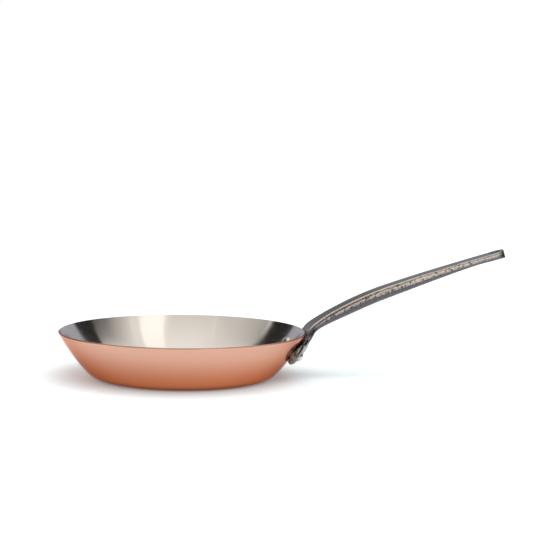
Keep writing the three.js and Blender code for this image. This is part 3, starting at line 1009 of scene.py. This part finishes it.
def matt_white_paper(colours):
    """Matt white paper sweep: seen by the camera and in metal as white, but for the shadows on it."""
    material = new_material("matt_white_paper")
    inputs = {0: seen_share(material), 1: PAPER_LIFT}
    lift = add_node(material, "ShaderNodeMath", inputs, operation="MULTIPLY")
    looks = {
        "Base Color": (*colours.floor, 1),
        "Roughness": 0.9,
        "Specular IOR Level": 0.0,
        "Emission Color": (1, 1, 1, 1),
        "Emission Strength": lift.outputs[0],
    }
    shader = add_node(material, "ShaderNodeBsdfPrincipled", looks)
    add_node(material, "ShaderNodeOutputMaterial", {"Surface": shader.outputs[0]})
    return material


def studio_panel_face(colours):
    """A lit or black studio panel: glows in the shade that is stored at its corners."""
    material = new_material("studio_panel_face")
    shade = add_node(material, "ShaderNodeAttribute", attribute_name="shade").outputs["Color"]
    shader = add_node(material, "ShaderNodeEmission", {"Color": shade})
    add_node(material, "ShaderNodeOutputMaterial", {"Surface": shader.outputs[0]})
    return material


def show_panel(name, points, faces, shades):
    """Sets up a studio panel that only reflections show."""
    mesh = bpy.data.meshes.new(name)
    mesh.from_pydata(points, [], faces)
    mesh.color_attributes.new("shade", "FLOAT_COLOR", "POINT").data.foreach_set("color", shades)
    mesh.materials.append(shared_material(studio_panel_face))
    board = bpy.data.objects.new(name, mesh)
    bpy.context.scene.collection.objects.link(board)
    board.visible_camera = False
    board.visible_diffuse = False
    board.visible_shadow = False
    board.visible_transmission = False


def curved_panel(name, reach, hex_colour, *corners):
    """A panel round the pan at this reach, by the azimuth, elevation and shade of its corners."""
    tint = linear(hex_colour)
    a, b, c, d = (np.array(corner) for corner in corners)
    across = np.linspace(0, 1, PANEL_STEPS + 1)
    count = len(across)
    points, shades, faces = [], [], []
    for up in across:
        for right in across:
            azimuth, elevation, shade = lerp(lerp(a, b, right), lerp(d, c, right), up)
            turn, rise = math.radians(azimuth), math.radians(elevation)
            level = math.cos(rise)
            points.append((level * math.sin(turn), -level * math.cos(turn), math.sin(rise)))
            shades += [*(shade * part for part in tint), 1]
    for row in range(0, PANEL_STEPS * count, count):
        for i in range(row, row + PANEL_STEPS):
            faces.append((i, i + 1, i + count + 1, i + count))
    show_panel(name, [tuple(reach * x for x in p) for p in points], faces, shades)


def low_board():
    """The low black board before the pan."""
    left, right = BOARD_ENDS
    places = ((left, 0), (right, 0), (right, BOARD_HEIGHT), (left, BOARD_HEIGHT))
    corners = [(x, -BOARD_DISTANCE, z) for x, z in places]
    show_panel("low_board", corners, [(0, 1, 2, 3)], [BOARD_SHADE, BOARD_SHADE, BOARD_SHADE, 1] * 4)


class PAN_OT_stage(bpy.types.Operator):
    """Sets up the pale floor, the soft light, the panels that the metal reflects, and the camera"""

    bl_idname = "pan.stage"
    bl_label = "Studio"

    def execute(self, context):
        scene = context.scene
        mesh = bpy.data.meshes.new("paper_floor")
        sides = ((-1, -1), (1, -1), (1, 1), (-1, 1))
        corners = [(x * FLOOR_REACH, y * FLOOR_REACH, FLOOR_LEVEL) for x, y in sides]
        mesh.from_pydata(corners, [], [(0, 1, 2, 3)])
        mesh.materials.append(shared_material(matt_white_paper))
        floor = bpy.data.objects.new("paper_floor", mesh)
        scene.collection.objects.link(floor)

        world = bpy.data.worlds.new("white_studio")
        world.use_nodes = True
        inputs = {0: seen_share(world), 1: 1 - ROOM_LIGHT, 2: ROOM_LIGHT}
        light = add_node(world, "ShaderNodeMath", inputs, operation="MULTIPLY_ADD").outputs[0]
        sky = world.node_tree.nodes["Background"]
        sky.inputs["Color"].default_value = (1, 1, 1, 1)
        world.node_tree.links.new(light, sky.inputs["Strength"])
        scene.world = world

        lamp = bpy.data.lights.new("overhead_scrim", "SUN")
        lamp.energy, lamp.angle = SOFT_SUN, SOFT_SUN_SPREAD
        scrim = bpy.data.objects.new("overhead_scrim", lamp)
        scrim.visible_glossy = False
        scrim.rotation_euler = (SOFT_SUN_TILT, 0, SOFT_SUN_TURN)
        scene.collection.objects.link(scrim)
        for step, (name, look) in enumerate(PANELS.items()):
            curved_panel(name, STUDIO_REACH - step * PANEL_GAP, *look)
        low_board()

        camera = bpy.data.cameras.new("photo_camera")
        camera.lens, camera.sensor_width, camera.clip_end = CAMERA_LENS, CAMERA_SENSOR, CAMERA_CLIP
        shooter = bpy.data.objects.new("photo_camera", camera)
        shooter.location = CAMERA_PLACE
        aim = Vector(CAMERA_AIM) - Vector(CAMERA_PLACE)
        shooter.rotation_mode = "QUATERNION"
        shooter.rotation_quaternion = aim.to_track_quat("-Z", "Y") @ Quaternion((0, 0, 1), CAMERA_ROLL)
        scene.collection.objects.link(shooter)
        scene.camera = shooter
        scene.view_settings.view_transform = "Standard"
        return {"FINISHED"}


class PAN_PT_panel(bpy.types.Panel):
    """Lists the pan's sizes, colours and pieces"""

    bl_label = "Copper frying pan"
    bl_idname = "PAN_PT_panel"
    bl_space_type = "VIEW_3D"
    bl_region_type = "UI"
    bl_category = "Pan"

    def draw(self, context):
        for group in GROUPS:
            for name in GROUPS[group].__annotations__:
                self.layout.prop(getattr(context.scene, group), name)
        for operator in OPERATORS:
            self.layout.operator(operator.bl_idname)


GROUPS = {
    "pan_sizes": PanSizes,
    "pan_handle": HandleSizes,
    "pan_rivets": RivetSizes,
    "pan_colours": PanColours,
}
OPERATORS = [PAN_OT_copper_body, PAN_OT_steel_lining, PAN_OT_handle, PAN_OT_rivets, PAN_OT_stage]


def register():
    for cls in (*GROUPS.values(), *OPERATORS, PAN_PT_panel):
        bpy.utils.register_class(cls)
    for name, group in GROUPS.items():
        setattr(bpy.types.Scene, name, PointerProperty(type=group))


def unregister():
    for name in GROUPS:
        delattr(bpy.types.Scene, name)
    for cls in (PAN_PT_panel, *OPERATORS, *GROUPS.values()):
        bpy.utils.unregister_class(cls)


def main():
    register()
    bpy.ops.pan.copper_body()
    bpy.ops.pan.steel_lining()
    bpy.ops.pan.handle()
    bpy.ops.pan.rivets()
    bpy.ops.pan.stage()


if __name__ == "__main__":
    main()
